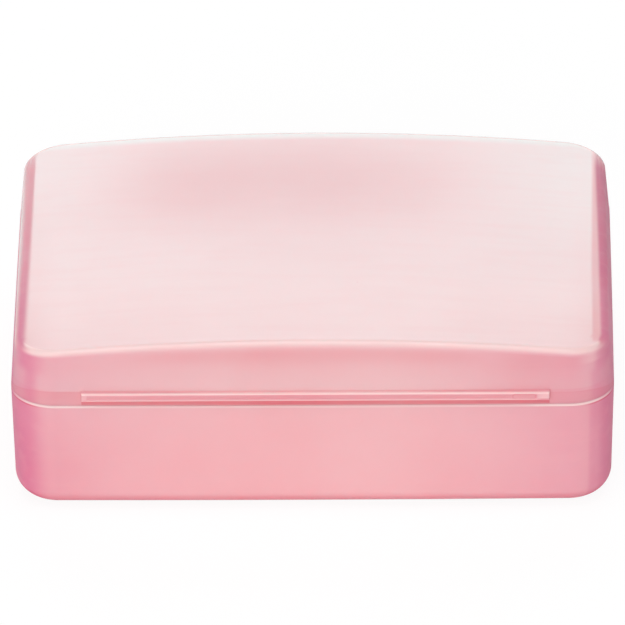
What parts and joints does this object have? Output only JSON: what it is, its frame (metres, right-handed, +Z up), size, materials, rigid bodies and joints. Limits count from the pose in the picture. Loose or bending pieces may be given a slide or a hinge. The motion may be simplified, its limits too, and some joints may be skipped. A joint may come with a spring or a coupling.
{
  "type": "soap dish",
  "caption": "Closed soap case in milky pink plastic with a crowned hinged lid, a front finger lip and a lift-out drain tray.",
  "frame": {"origin": "on the surface it stands on, under the middle of the closed case's footprint, lip and hinges included", "axes": "+X along the case's width, to the right seen from the front; the front with the finger lip faces -Y and the hinges are at +Y; +Z up"},
  "size_m": [0.1102, 0.0856, 0.035],
  "materials": {
    "shell_plastic": "glossy milky pink, slightly translucent",
    "tray_plastic": "satin milky pink",
    "pin_steel": "drawn stainless wire"
  },
  "bodies": {
    "base": {"base_shell": "shell_plastic", "hinge_pin_left": "pin_steel", "hinge_pin_right": "pin_steel"},
    "lid": {"lid_shell": "shell_plastic"},
    "tray": {"drain_tray": "tray_plastic"}
  },
  "joints": [
    {"name": "lid_hinge", "type": "hinge", "parent": "base", "child": "lid", "pos_m": [0, 0.04088, 0.02215], "axis": [-1, 0, 0], "range_deg": [0, 110]},
    {"name": "tray_lift", "type": "slide", "parent": "base", "child": "tray", "axis": [0, 0, 1], "range_m": [0, 0.015]}
  ]
}
